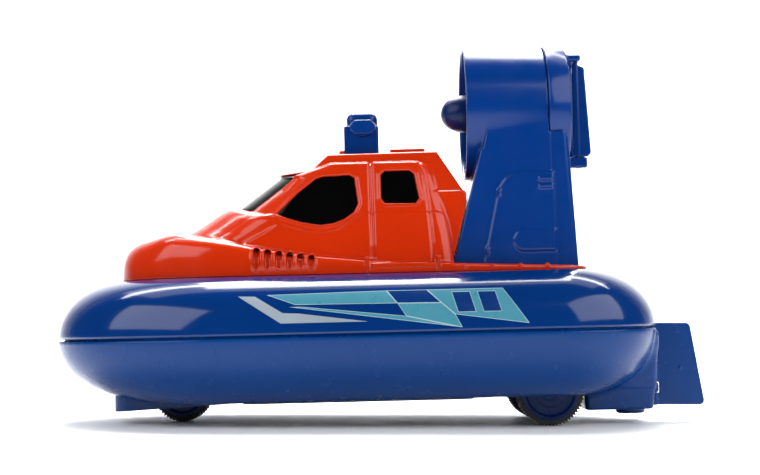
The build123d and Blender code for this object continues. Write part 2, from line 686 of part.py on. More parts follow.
with BuildPart() as steering_motor:
    extrude(disc(level(0.6, servo_x), 6.0), amount=15)
    extrude(disc(level(0, servo_x), 0.96), amount=16, mode=Mode.SUBTRACT)
save(steering_motor, "steering_motor")

with BuildPart() as steering_bracket:
    block((servo_x - 6.6, servo_x + 6.6), (-12, 12), (-1.2, 0.6))
    for side in (-1, 1):
        extrude(disc(level(-6, servo_x, side * 9.6), 2.0), amount=5)
    extrude(disc(level(-4, servo_x), 2.4), amount=6, mode=Mode.SUBTRACT)
save(steering_bracket, "steering_bracket")

# ---------------------------------------------------------------- battery bay and electronics

with BuildPart() as battery_box:
    block((BAY_FRONT - 1.5, BAY_REAR + 1.5), (-BAY_HALF_WIDTH - 1.5, BAY_HALF_WIDTH + 1.5), (-24.8, BAY_TOP))
    block((BAY_FRONT, BAY_REAR), (-BAY_HALF_WIDTH, BAY_HALF_WIDTH), (-30, BAY_TOP - 1.5), Mode.SUBTRACT)
    with BuildSketch(level(BAY_TOP)):
        with Locations((-40, 18), (-40, -18), (10, 18), (10, -18)):
            Circle(2.2)
    extrude(amount=3)
save(battery_box, "battery_box")

first_cell = (BAY_FRONT + BAY_REAR) / 2 - CELL_PITCH * (CELL_COUNT - 1) / 2
cell_z = BAY_TOP - 1.5 - CELL_R - 0.2

with BuildPart() as battery_cells:
    for number in range(CELL_COUNT):
        x = first_cell + CELL_PITCH * number
        end = 1 if number % 2 else -1
        extrude(disc(across(x, cell_z), CELL_R), amount=CELL_LENGTH / 2, both=True)
        extrude(disc(across(x, cell_z, end * CELL_LENGTH / 2), 2.6), amount=end * 1.0)
save(battery_cells, "battery_cells")

with BuildPart() as battery_contacts:
    for number in range(CELL_COUNT):
        x = first_cell + CELL_PITCH * number
        for side in (-1, 1):
            block((x - 5, x + 5), sorted((side * 27.4, side * 27.9)), (cell_z - 4, cell_z + 4))
save(battery_contacts, "battery_contacts")

with BuildPart() as battery_door:
    with BuildSketch(level(-27.6)):
        with Locations(((-57.6 + 36.7) / 2, 0)):
            RectangleRounded(94.3, 60, 4)
    extrude(amount=1.0)
    block((BAY_FRONT + 0.2, BAY_REAR - 0.2), (-27.8, 27.8), (-LOWER_DEPTH, -25.0))
save(battery_door, "battery_door")

with BuildPart() as circuit_board:
    block((-44, 14), (-22, 22), (BAY_TOP + 3, BAY_TOP + 4.6))
save(circuit_board, "circuit_board")

with BuildPart() as circuit_chips:
    board_top = BAY_TOP + 4.6
    block((-30, -18), (-6, 6), (board_top, board_top + 2.0))
    block((-6, 4), (4, 16), (board_top, board_top + 3.0))
    block((-8, 2), (-16, -12), (board_top, board_top + 4.0))
    extrude(disc(level(board_top, -36, 12), 3.2), amount=8)
save(circuit_chips, "circuit_chips")

with BuildPart() as switch_body:
    block((37.6, 50.4), (-3.8, 3.8), (-24.8, -18))
    block((39.8, 48.2), (-2.6, 2.6), (-25, -21), Mode.SUBTRACT)
save(switch_body, "switch_body")

with BuildPart() as switch_knob:
    block((40.6, 44.4), (-1.8, 1.8), (-27.3, -21.4))
save(switch_knob, "switch_knob")

with BuildPart() as stern_glide:
    extrude(disc(level(-36.6, 105.2), 6.2), amount=2.0)
    fillet(stern_glide.edges().group_by(Axis.Z)[0], radius=1.2)
save(stern_glide, "stern_glide")

with BuildPart() as hull_screws:
    for x, y in screw_places:
        extrude(disc(level(-22, x, y), 2.4), amount=2)
        extrude(disc(level(-20, x, y), 1.28), amount=30)
save(hull_screws, "hull_screws")

with BuildPart() as tower_screws:
    for x, y in tower_screw_places:
        extrude(disc(level(20.6, x, y), 2.4), amount=UPPER_HEIGHT - WALL - 20.6)
        extrude(disc(level(22, x, y), 1.28), amount=12)
save(tower_screws, "tower_screws")
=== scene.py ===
"""Looks of the toy hovercraft: smooth moulded shells, procedural plastics, a plain pale studio."""
import json
import math

import bmesh
import bpy
import numpy as np
from mathutils import Matrix, Vector


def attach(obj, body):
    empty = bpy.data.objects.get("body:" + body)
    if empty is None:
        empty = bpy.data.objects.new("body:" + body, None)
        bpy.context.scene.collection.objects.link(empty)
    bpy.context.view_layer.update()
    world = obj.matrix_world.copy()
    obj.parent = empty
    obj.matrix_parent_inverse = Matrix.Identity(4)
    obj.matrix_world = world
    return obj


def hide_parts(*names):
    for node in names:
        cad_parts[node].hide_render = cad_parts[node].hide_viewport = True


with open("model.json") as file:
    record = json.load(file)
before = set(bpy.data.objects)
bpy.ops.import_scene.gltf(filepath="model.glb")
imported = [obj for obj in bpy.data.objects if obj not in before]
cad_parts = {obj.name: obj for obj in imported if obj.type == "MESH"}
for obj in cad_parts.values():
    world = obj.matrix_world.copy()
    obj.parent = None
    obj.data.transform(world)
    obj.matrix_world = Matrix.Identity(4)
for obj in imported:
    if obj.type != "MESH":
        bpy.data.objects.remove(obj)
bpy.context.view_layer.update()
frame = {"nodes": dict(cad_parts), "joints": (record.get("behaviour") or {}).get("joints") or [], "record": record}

JOINTS = {joint["name"]: joint for joint in frame["joints"]}

# ---------------------------------------------------------------- the hull's own frame, in millimetres
# x runs aft from midships, y to starboard and z up from the seam between the two hull shells.
MM = 0.001
DUCT_Z = 93.4
FAN_CENTRE = (60.0, 0.0, DUCT_Z)
AFT = Vector(JOINTS["fan_spin"]["axis"])
UP = Vector(JOINTS["steering_turn"]["axis"])
TURN = Matrix((AFT, Vector((0, 1, 0)), UP)).transposed()
ORIGIN = Vector(JOINTS["fan_spin"]["pos_m"]) - TURN @ (Vector(FAN_CENTRE) * MM)

BOW_X, STERN_X, HALF_BEAM = -137.4, 113.8, 61.0
BOW_CENTRE_X = -64.0
CORNER_LENGTH, CORNER_WIDTH = 42.0, 48.0
UPPER_TOP, LOWER_BOTTOM = 24.3, -26.6
DECK_Z = 24.3
SEAM = 0.4

# How far in from the rim the flat begins at the bow, the sides and the stern.
UPPER_INSETS = (28.8, 23.0, 28.8)
LOWER_INSETS = (44.6, 21.0, 30.0)

# Centres and pivot lines that several pieces share.
REAR_AXLE_X, REAR_AXLE_Z = 68.0, -25.3
STEERING_X, FRONT_AXLE_Z = -85.2, -22.9
WATER_RUDDER_X = 115.8
VANE_X, VANE_Y = 85.0, 10.0
LIGHT_X, LIGHT_TILT_Z = -6.5, 85.4
SIDES = (("port", -1), ("starboard", 1))


def to_world(points):
    """Hull-frame millimetres to world metres, for an array of points."""
    turn = np.array(TURN)
    return np.asarray(points, float) @ turn.T * MM + np.array(ORIGIN)


# ---------------------------------------------------------------- solids as distance fields

class Space:
    """A lattice over half the object (y >= 0), mirrored when the surface is drawn."""

    def __init__(self, low, high, step):
        self.step = step
        self.low = np.array(low, float)
        counts = [int(math.ceil((high[i] - low[i]) / step)) + 1 for i in range(3)]
        self.x = (low[0] + step * np.arange(counts[0]))[:, None, None]
        self.y = (low[1] + step * np.arange(counts[1]))[None, :, None]
        self.z = (low[2] + step * np.arange(counts[2]))[None, None, :]
        self.shape = tuple(counts)


def smooth_min(a, b, radius):
    """Union of two fields with a fillet."""
    share = np.clip(0.5 + 0.5 * (b - a) / radius, 0, 1)
    return b + (a - b) * share - radius * share * (1 - share)


def smooth_max(a, b, radius):
    """Intersection of two fields with a rounded edge."""
    return -smooth_min(-a, -b, radius)


def true_distance(field, step):
    """Scale a field so that it grows by one per millimetre near its surface."""
    gx, gy, gz = np.gradient(field, step)
    return field / np.maximum(np.sqrt(gx * gx + gy * gy + gz * gz), 0.3)


def disc(across, along, radius):
    """Distance to a round rod whose axis is where both offsets are zero."""
    return np.sqrt(across ** 2 + along ** 2) - radius


def ridge(distance, width):
    """One on a line or a surface, falling off softly to either side."""
    return np.exp(-(distance / width) ** 2)


def plateau(outline, softness):
    """One inside an outline and zero outside it, with a soft flank."""
    return 0.5 - 0.5 * np.tanh(outline / softness)


def polygon(px, pz, corners):
    """Signed distance to a closed polygon in a plane."""
    px, pz = np.broadcast_arrays(px, pz)
    best = np.full(px.shape, 1e9)
    inside = np.zeros(px.shape, bool)
    count = len(corners)
    for i in range(count):
        (ax, az), (bx, bz) = corners[i], corners[(i + 1) % count]
        ex, ez = bx - ax, bz - az
        wx, wz = px - ax, pz - az
        t = np.clip((wx * ex + wz * ez) / (ex * ex + ez * ez), 0, 1)
        best = np.minimum(best, (wx - t * ex) ** 2 + (wz - t * ez) ** 2)
        crosses = (az > pz) != (bz > pz)
        if ez:
            inside ^= crosses & (px < ax + (pz - az) * ex / ez)
    distance = np.sqrt(best)
    return np.where(inside, -distance, distance)


def box_field(space, low, high, radius=0.0):
    """Distance to a box with rounded edges; its y range is taken on |y|."""
    parts = []
    for axis, lo, hi in zip((space.x, space.y, space.z), low, high):
        parts.append(np.abs(axis - (lo + hi) / 2) - (hi - lo) / 2 + radius)
    outside = np.sqrt(sum(np.maximum(part, 0) ** 2 for part in parts))
    inside = np.minimum(np.maximum(np.maximum(parts[0], parts[1]), parts[2]), 0)
    return outside + inside - radius


CORNERS = np.array([(i, j, k) for i in (0, 1) for j in (0, 1) for k in (0, 1)])
CELL_EDGES = [
    (a, b) for a in range(8) for b in range(a + 1, 8) if abs(CORNERS[a] - CORNERS[b]).sum() == 1
]
SETTLING_STEPS = 3
LONGEST_STEP = 0.4


def sample(field, places):
    """Trilinear value of a field at lattice places."""
    limit = np.array(field.shape) - 2
    cell = np.clip(np.floor(places).astype(int), 0, limit)
    share = np.clip(places - cell, 0, 1)
    total = np.zeros(len(places))
    for corner in CORNERS:
        weight = np.prod(np.where(corner, share, 1 - share), axis=1)
        total += weight * field[tuple((cell + corner).T)]
    return total


def slope(field, places, reach):
    """Gradient of a field at lattice places, by central differences."""
    columns = []
    for axis in range(3):
        shift = np.zeros(3)
        shift[axis] = reach
        columns.append(sample(field, places + shift) - sample(field, places - shift))
    return np.stack(columns, axis=1) / (2 * reach)


def surface_of(field):
    """Dual mesh of the zero level: one vertex in each crossed cell, one quad for each crossed edge."""
    inside = field < 0
    nx, ny, nz = field.shape
    filled = sum(
        inside[i:nx - 1 + i, j:ny - 1 + j, k:nz - 1 + k].astype(np.int8) for i, j, k in CORNERS
    )
    cells = np.argwhere((filled > 0) & (filled < 8))
    values = np.stack([field[tuple((cells + corner).T)] for corner in CORNERS], axis=1)
    total = np.zeros((len(cells), 3))
    hits = np.zeros(len(cells))
    for a, b in CELL_EDGES:
        va, vb = values[:, a], values[:, b]
        crossed = (va < 0) != (vb < 0)
        t = np.where(crossed, va / np.where(crossed, va - vb, 1), 0)
        total += np.where(crossed[:, None], CORNERS[a] + t[:, None] * (CORNERS[b] - CORNERS[a]), 0)
        hits += crossed
    places = cells + total / hits[:, None]
    for _ in range(SETTLING_STEPS):
        gradient = slope(field, places, 0.5)
        push = sample(field, places) / np.maximum((gradient ** 2).sum(axis=1), 1e-9)
        places = places - np.clip(push[:, None] * gradient, -LONGEST_STEP, LONGEST_STEP)
    index = np.full((nx - 1, ny - 1, nz - 1), -1)
    index[tuple(cells.T)] = np.arange(len(cells))
    quads = []
    for axis in range(3):
        u, v = [other for other in range(3) if other != axis]
        near = [slice(None)] * 3
        near[axis] = slice(0, -1)
        far = [slice(None)] * 3
        far[axis] = slice(1, None)
        changed = inside[tuple(near)] != inside[tuple(far)]
        edges = np.argwhere(changed)
        keep = (edges[:, u] > 0) & (edges[:, v] > 0)
        keep &= (edges[:, u] < field.shape[u] - 1) & (edges[:, v] < field.shape[v] - 1)
        edges = edges[keep]
        ring = []
        for du, dv in ((-1, -1), (0, -1), (0, 0), (-1, 0)):
            cell = edges.copy()
            cell[:, u] += du
            cell[:, v] += dv
            ring.append(index[tuple(cell.T)])
        quad = np.stack(ring, axis=1)
        starts_inside = inside[tuple(edges.T)]
        flip = starts_inside if axis != 1 else ~starts_inside
        quad[~flip] = quad[~flip][:, ::-1]
        quads.append(quad)
    return places, np.concatenate(quads), slope(field, places, 0.6)


def add(name, data):
    """A new object in the scene with this mesh, light or camera."""
    made = bpy.data.objects.new(name, data)
    bpy.context.scene.collection.objects.link(made)
    return made


def make_mesh(name, points, faces, normals=None):
    """A smooth mesh object from world points, faces and optional vertex normals."""
    mesh = bpy.data.meshes.new(name)
    mesh.from_pydata(np.asarray(points).tolist(), [], np.asarray(faces).tolist())
    mesh.validate()
    mesh.shade_smooth()
    if normals is not None:
        length = np.maximum(np.linalg.norm(normals, axis=1, keepdims=True), 1e-9)
        mesh.normals_split_custom_set_from_vertices((normals / length).tolist())
    return add(name, mesh)


def moulded(name, space, field, mirrored=True):
    """Draw a field's surface as a moulded piece in its place on the object."""
    field = np.broadcast_to(field, space.shape)
    low = space.low.copy()
    if mirrored:
        field = np.concatenate([field[:, :0:-1, :], field], axis=1)
        low[1] = -(space.shape[1] - 1) * space.step
    field = np.ascontiguousarray(field)
    places, quads, gradient = surface_of(field)
    points = to_world(low + places * space.step)
    return make_mesh(name, points, quads, gradient @ np.array(TURN).T)


def one_side(name, space, field, side):
    """Draw a piece that lies wholly on one side of the centre plane."""
    field = np.ascontiguousarray(np.broadcast_to(field, space.shape))
    places, quads, gradient = surface_of(field)
    points = space.low + places * space.step
    if side < 0:
        points[:, 1] *= -1
        gradient[:, 1] *= -1
        quads = quads[:, ::-1]
    return make_mesh(name, to_world(points), quads, gradient @ np.array(TURN).T)


# ---------------------------------------------------------------- materials

def node(tree, kind, **inputs):
    """Add a shader node and set its inputs by name."""
    made = tree.nodes.new(kind)
    for key, value in inputs.items():
        made.inputs[key.replace("_", " ")].default_value = value
    return made


def noise(tree, place, scale, detail=3.0):
    """A noise texture in object space; scale is in features per metre."""
    texture = tree.nodes.new("ShaderNodeTexNoise")
    texture.inputs["Scale"].default_value = scale
    texture.inputs["Detail"].default_value = detail
    tree.links.new(place.outputs["Object"], texture.inputs["Vector"])
    return texture


def ramp(tree, source, low, high, stops=(0.35, 0.65)):
    """Map a factor between two values or two colours."""
    made = tree.nodes.new("ShaderNodeValToRGB")
    for element, stop, value in zip(made.color_ramp.elements, stops, (low, high)):
        element.position = stop
        element.color = value if isinstance(value, tuple) else (value, value, value, 1)
    tree.links.new(source, made.inputs["Fac"])
    return made.outputs["Color"]


def shade(colour, factor):
    """A colour made lighter or darker."""
    return tuple(min(1.0, channel * factor) for channel in colour[:3]) + (1,)


def plastic(name, colour, roughness, coat=0.0, tint=0.06, grain=0.03, grain_scale=2600.0, wave=0.012,
            metallic=0.0, specular=0.5):
    """Moulded plastic or metal: slow colour drift, uneven gloss, fine skin and a slight moulding wave."""
    material = bpy.data.materials.new(name)
    material.use_nodes = True
    tree = material.node_tree
    shader = tree.nodes["Principled BSDF"]
    shader.inputs["Metallic"].default_value = metallic
    shader.inputs["Coat Weight"].default_value = coat
    shader.inputs["Coat Roughness"].default_value = 0.04
    shader.inputs["Specular IOR Level"].default_value = specular
    place = tree.nodes.new("ShaderNodeTexCoord")
    drift = noise(tree, place, 26.0)
    base = ramp(tree, drift.outputs["Fac"], shade(colour, 1 - tint), shade(colour, 1 + tint))
    tree.links.new(base, shader.inputs["Base Color"])
    haze = noise(tree, place, 140.0, 5.0)
    gloss = ramp(tree, haze.outputs["Fac"], roughness * 0.86, roughness * 1.16)
    tree.links.new(gloss, shader.inputs["Roughness"])
    skin = noise(tree, place, grain_scale, 4.0)
    fine = node(tree, "ShaderNodeBump", Strength=grain, Distance=0.0002)
    tree.links.new(skin.outputs["Fac"], fine.inputs["Height"])
    swell = noise(tree, place, 45.0, 1.0)
    slow = node(tree, "ShaderNodeBump", Strength=wave, Distance=0.004)
    tree.links.new(swell.outputs["Fac"], slow.inputs["Height"])
    tree.links.new(fine.outputs["Normal"], slow.inputs["Normal"])
    tree.links.new(slow.outputs["Normal"], shader.inputs["Normal"])
    return material


HULL_BLUE = plastic("hull_blue_gloss", (0.0001, 0.023, 0.132), 0.12,
                    coat=0.12, tint=0.04, grain=0.003, specular=0.36)
LOWER_BLUE = plastic("lower_blue_satin", (0.0001, 0.034, 0.165), 0.24,
                     tint=0.04, grain=0.004, specular=0.22)
TOWER_BLUE = plastic("tower_blue_satin", (0.0001, 0.028, 0.172), 0.20,
                     coat=0.05, tint=0.03, grain=0.004, specular=0.30)
ORANGE = plastic("cabin_orange_gloss", (0.51, 0.022, 0.0002), 0.17,
                 coat=0.12, tint=0.03, grain=0.004, specular=0.34)
GLAZING = plastic("glazing_black_gloss", (0.001, 0.001, 0.001), 0.12,
                  tint=0.3, grain=0.01, specular=0.10)
NAVY = plastic("fan_navy_satin", (0.001, 0.014, 0.085), 0.30, tint=0.06, grain=0.01, specular=0.20)
TYRE = plastic("tyre_black_matte", (0.010, 0.011, 0.014), 0.62,
               tint=0.25, grain=0.35, grain_scale=1800.0)
COVER = plastic("cover_black_textured", (0.014, 0.015, 0.019), 0.50,
                tint=0.2, grain=0.30, grain_scale=2200.0)
TEAL = plastic("decal_teal", (0.046, 0.215, 0.290), 0.30, coat=0.1, tint=0.03, grain=0.006, wave=0.0)
SILVER = plastic("decal_silver", (0.28, 0.33, 0.38), 0.38, tint=0.04, grain=0.02, wave=0.0, metallic=0.2)
OUTLINE = plastic("decal_pale_line", (0.32, 0.44, 0.48), 0.32, tint=0.03, grain=0.006, wave=0.0)
DECAL_BLUE = plastic("decal_blue", (0.0001, 0.024, 0.135), 0.22,
                     coat=0.1, tint=0.03, grain=0.006, wave=0.0)
STEEL = plastic("drawn_steel", (0.55, 0.55, 0.56), 0.32, tint=0.08, grain=0.15, metallic=1.0)
CAN = plastic("pressed_steel_can", (0.60, 0.60, 0.60), 0.36, tint=0.08, grain=0.12, metallic=1.0)
NYLON = plastic("natural_nylon", (0.80, 0.77, 0.68), 0.42, tint=0.05, grain=0.08)
BRASS = plastic("turned_brass", (0.70, 0.50, 0.22), 0.30, tint=0.08, grain=0.12, metallic=1.0)
NICKEL = plastic("nickel_strip", (0.68, 0.66, 0.61), 0.26, tint=0.05, grain=0.08, metallic=1.0)
JACKET = plastic("cell_jacket_grey", (0.10, 0.10, 0.11), 0.30, coat=0.3, tint=0.08, grain=0.04)
BOARD = plastic("board_green", (0.010, 0.150, 0.050), 0.35, coat=0.2, tint=0.15, grain=0.20)
CHIP = plastic("chip_black", (0.016, 0.016, 0.017), 0.50, tint=0.15, grain=0.25)
LAMP = plastic("lamp_white", (0.85, 0.84, 0.78), 0.22, coat=0.5, tint=0.03, grain=0.03)


def clear_plastic(name):
    """Clear lens plastic."""
    material = plastic(name, (0.92, 0.95, 0.97), 0.06, tint=0.01, grain=0.02)
    shader = material.node_tree.nodes["Principled BSDF"]
    shader.inputs["Transmission Weight"].default_value = 0.85
    shader.inputs["IOR"].default_value = 1.49
    return material


CLEAR = clear_plastic("lens_clear")
NODE_MATERIALS = {
    "hull_blue": TOWER_BLUE, "lower_blue": LOWER_BLUE, "cabin_orange": ORANGE, "glazing_black": GLAZING,
    "fan_navy": NAVY, "tyre_black": TYRE, "cover_black": COVER, "shaft_steel": STEEL, "motor_steel": CAN,
    "gear_nylon": NYLON, "bush_brass": BRASS, "contact_nickel": NICKEL, "cell_jacket": JACKET,
    "board_green": BOARD, "chip_black": CHIP, "lens_clear": CLEAR, "lamp_white": LAMP,
}


def dress(piece, material, slot, body, *replaced):
    """Give a new piece its material and its body, and hide the CAD nodes that it stands for. The slot argument is
    not used.
    """
    piece.data.materials.clear()
    piece.data.materials.append(material)
    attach(piece, body)
    if replaced:
        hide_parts(*replaced)


def dress_nodes():
    """Every CAD node that stays gets the procedural finish of its record slot."""
    for subpart in frame["record"]["subparts"]:
        made = frame["nodes"][subpart["node"]].data
        made.materials.clear()
        made.materials.append(NODE_MATERIALS[subpart["material_slot"]])


# ---------------------------------------------------------------- hull shells

HALVINGS = 34
SCREWS = ((-92, 24), (-40, 41), (46, 41), (88, 24))
BLOCK_FRONT, BLOCK_BACK, BLOCK_HALF = 83.3, 113.9, 18.5


def plan_growth(x, y, insets):
    """How far in from the widest outline a plan point lies: 0 at the rim, 1 at the flat deck."""
    bow, side, stern = insets
    corner_x, flat = STERN_X - CORNER_LENGTH, HALF_BEAM - CORNER_WIDTH
    x, y = np.broadcast_arrays(np.asarray(x, float), np.asarray(y, float))
    low, high = np.full(x.shape, -0.8), np.ones(x.shape)
    for _ in range(HALVINGS):
        g = (low + high) / 2
        ahead = np.minimum(x - BOW_CENTRE_X, 0) / (BOW_CENTRE_X - BOW_X - bow * g)
        astern = np.maximum(x - corner_x, 0) / (CORNER_LENGTH - stern * g)
        beside = y / (HALF_BEAM - side * g)
        beside_stern = np.maximum(y - flat, 0) / (CORNER_WIDTH - side * g)
        blended = np.where(x < corner_x, beside, beside_stern)
        outside = ahead ** 2 + astern ** 2 + blended ** 2 > 1
        high = np.where(outside, g, high)
        low = np.where(outside, low, g)
    return (low + high) / 2


def bulge(space, start, height, insets):
    """Distance field of one hull shell: a quarter-ellipse bulge from the seam plane to a flat."""
    growth = plan_growth(space.x[:, :, 0], space.y[:, :, 0], insets)[:, :, None]
    rise = (space.z - start) / (height - start)
    round_part = np.sqrt(np.maximum(1 - growth, 0) ** 2 + np.maximum(rise, 0) ** 2) - 1
    shape = true_distance(np.broadcast_to(round_part * abs(height), space.shape), space.step)
    toward = 1 if height > 0 else -1
    return smooth_max(shape, toward * (start - space.z), 0.5)


def upper_hull():
    """The glossy upper shell."""
    space = Space((-140.5, 0, -1.9), (119.5, 62.5, 26.3), 0.75)
    shell = bulge(space, SEAM, UPPER_TOP, UPPER_INSETS)
    piece = moulded("upper_hull_shell", space, shell)
    dress(piece, HULL_BLUE, "hull_blue", "hull", "upper_hull")


def lower_hull():
    """The satin lower shell: stern block, wheel wells, battery and gear openings, screw holes, lugs."""
    space = Space((-140.5, 0, -36.2), (122.8, 62.5, 1.8), 0.7)
    x, y, z = space.x, space.y, space.z
    shell = bulge(space, -SEAM, LOWER_BOTTOM, LOWER_INSETS)

    # The stern block: wider towards its foot, leaning in and stepping back at the very bottom.
    flare = np.clip((-8 - z) / 17.5, 0, 1)
    rear = BLOCK_BACK - 1.3 * np.clip((-25.5 - z) / 9, 0, 1)
    half = BLOCK_HALF + 7.0 * (1 - flare) ** 2
    along = np.abs(x - (BLOCK_FRONT + rear) / 2) - (rear - BLOCK_FRONT) / 2
    stern = smooth_max(along, y - half, 2.5)
    step_back = 0.5 * np.clip((-24.9 - z) / 0.7, 0, 1)
    stern = smooth_max(stern, np.abs(z + 18.6) - 16.0, 1.0) + step_back
    shell = smooth_min(shell, stern, 3.0)
    shell = np.maximum(shell, z + SEAM)

    # A tongue stands up inside the rim and closes the gap between the two shells.
    rim = plan_growth(x[:, :, 0], y[:, :, 0], LOWER_INSETS)[:, :, None]
    tongue = np.maximum((0.06 - rim) * 25.0, np.abs(z + 0.4) - 1.2)
    shell = np.minimum(shell, np.broadcast_to(tongue, space.shape))

    for low, high, corner, edge in (
        ((52, 19.7, -45), (84, 30.3, -10.1), 1.0, 0.8),
        ((-56, -28, -45), (35, 28, -9.5), 0.8, 0.6),
        ((54.8, -17.9, -45), (81.2, 17.9, -14), 0.8, 0.6),
    ):
        shell = smooth_max(shell, -box_field(space, low, high, corner), edge)
    round_well = disc(x - STEERING_X, y, 17.2)
    shell = smooth_max(shell, -np.maximum(round_well, z + 11.8), 0.8)
    for screw_x, screw_y in SCREWS:
        hole = disc(x - screw_x, y - screw_y, 2.7)
        shell = smooth_max(shell, -np.maximum(hole, z + 19.8), 0.6)
    for top in (-8, -24):
        lug = disc(np.maximum(x - WATER_RUDDER_X, 0), y, 1.8)
        lug = np.maximum(lug, np.abs(z - top + 2) - 2.12)
        shell = np.minimum(shell, np.maximum(lug, 111 - x))
    piece = moulded("lower_hull_shell", space, shell)
    dress(piece, LOWER_BLUE, "lower_blue", "hull", "lower_hull")


# ---------------------------------------------------------------- superstructure
# The half-width and pillar tables run up in z; the others are outlines or lines seen from the side.

CABIN_HALF = ((24.3, 33.0), (36.0, 32.2), (43.0, 31.1), (50.0, 29.4), (54.5, 28.4), (58.0, 27.3))
GREENHOUSE_HALF = ((40.0, 31.0), (54.5, 27.9), (58.0, 26.7), (68.0, 23.4), (71.4, 21.9))
FRONT_PROFILE = (
    (-86.0, 10.0), (-85.0, 41.0), (-83.3, 43.2), (-76.0, 47.2), (-67.6, 52.7), (-65.1, 53.9),
    (-60.3, 54.6), (-43.0, 67.3), (-42.6, 68.4), (-33.4, 70.0), (-27.0, 71.3), (60.0, 71.4), (60.0, 10.0),
)
LOWER_TOP = (
    (-90.0, 60.0), (-62.0, 53.6), (-58.2, 51.8), (-45.5, 48.1), (-36.4, 44.3), (-29.0, 42.3),
    (-23.2, 41.8), (-17.0, 42.9), (-12.0, 46.2), (-7.0, 49.9), (60.0, 49.4), (60.0, 10.0),
    (-90.0, 10.0),
)
QUARTER_WINDOW = (
    (-42.2, 50.0), (-33.5, 58.6), (-25.8, 64.6), (-23.0, 65.4), (-12.0, 65.8), (-10.0, 64.5),
    (-8.6, 53.6), (-10.4, 50.2), (-14.2, 47.4), (-19.0, 45.6), (-24.5, 45.0), (-31.5, 46.2),
    (-38.5, 48.4),
)
DOOR_WINDOW = (
    (0.9, 55.6), (0.9, 65.6), (2.6, 67.2), (13.0, 67.2), (14.8, 65.6), (16.6, 55.2), (15.0, 53.2),
    (2.6, 53.4),
)
PILLAR_REAR = (
    (24.3, 30.2), (30.8, 29.8), (39.4, 28.9), (50.0, 27.2), (58.4, 25.0), (65.1, 23.4), (68.5, 21.8),
    (71.4, 18.8),
)
PILLAR_LINE = ((24.3, 22.1), (30.8, 21.8), (50.8, 20.5), (65.1, 19.1), (70.8, 16.6))
COWL_TOP = (
    (-125.0, 41.0), (-97.5, 41.6), (-88.7, 42.8), (-84.0, 43.0), (-69.0, 40.6), (-52.4, 37.0),
    (-38.0, 34.2), (-27.3, 32.6), (-4.2, 29.8), (29.7, 27.9), (74.0, 26.3), (95.0, 25.6),
)
ROOF_BOX = ((-26.5, 70), (-20.9, 75.3), (24.6, 75.6), (34.9, 58.4), (34.9, 40), (-26.5, 40))
SCREEN_BOW = 0.0065
COWL_NOSE_X, COWL_NOSE_LENGTH, COWL_HALF = -110.3, 45.0, 37.5
WINDOW_DEPTH = 1.1


def table(points, at):
    """Straight-line interpolation through a short list of points."""
    return np.interp(at, [point[0] for point in points], [point[1] for point in points])


def cabin_fields(space):
    """The greenhouse and the wider lower cabin, each as a distance field."""
    x, y, z = space.x, space.y, space.z
    bend = 28.0 * (1 - np.sqrt(1 - np.minimum(y / 30.5, 1) ** 2))
    nose_x, nose_z = x - bend, z + SCREEN_BOW * np.minimum(y, 26) ** 2 * np.clip((-20 - x) / 20, 0, 1)
    front = polygon(nose_x, nose_z, FRONT_PROFILE) * 0.96
    green = smooth_max(front, (y - table(GREENHOUSE_HALF, z)) * 0.96, 1.6)
    rear = x - table(PILLAR_REAR, z)
    green = smooth_max(green, rear, 5.0)
    belt = polygon(x, z, LOWER_TOP)
    side = smooth_max((y - table(CABIN_HALF, z)) * 0.97, belt, 0.9)
    lower = smooth_max(smooth_max(front + 0.1, side, 1.6), rear - 0.5, 6.0)
    return green, lower


def cowl_field(space):
    """The sloping cowl round the cabin: round nose, shoulders and the flange that tapers aft."""
    x, y, z = space.x, space.y, space.z
    nose = COWL_NOSE_X + COWL_NOSE_LENGTH
    ahead = np.minimum(x - nose, 0) / COWL_NOSE_LENGTH
    half = COWL_HALF - 7.0 * np.clip((x - 30.0) / 56.2, 0, 1)
    plan = (np.sqrt(ahead ** 2 + (y / half) ** 2) - 1) * COWL_HALF
    plan = true_distance(np.broadcast_to(plan, space.shape), space.step)
    plan = smooth_max(plan + 0.05 * (z - DECK_Z), x - 86.0, 14.0)
    top = z - table(COWL_TOP, x)
    rounding = np.interp(x, (-112, -95, -60, -20, 10, 86), (13.0, 13.0, 7.0, 4.0, 1.6, 1.0))
    return smooth_max(plan, top, rounding)


def capsule(space, x, low, high, radius):
    """A rounded slot seen from the side."""
    middle = np.clip(space.z, low, high)
    return disc(space.x - x, space.z - middle, radius)


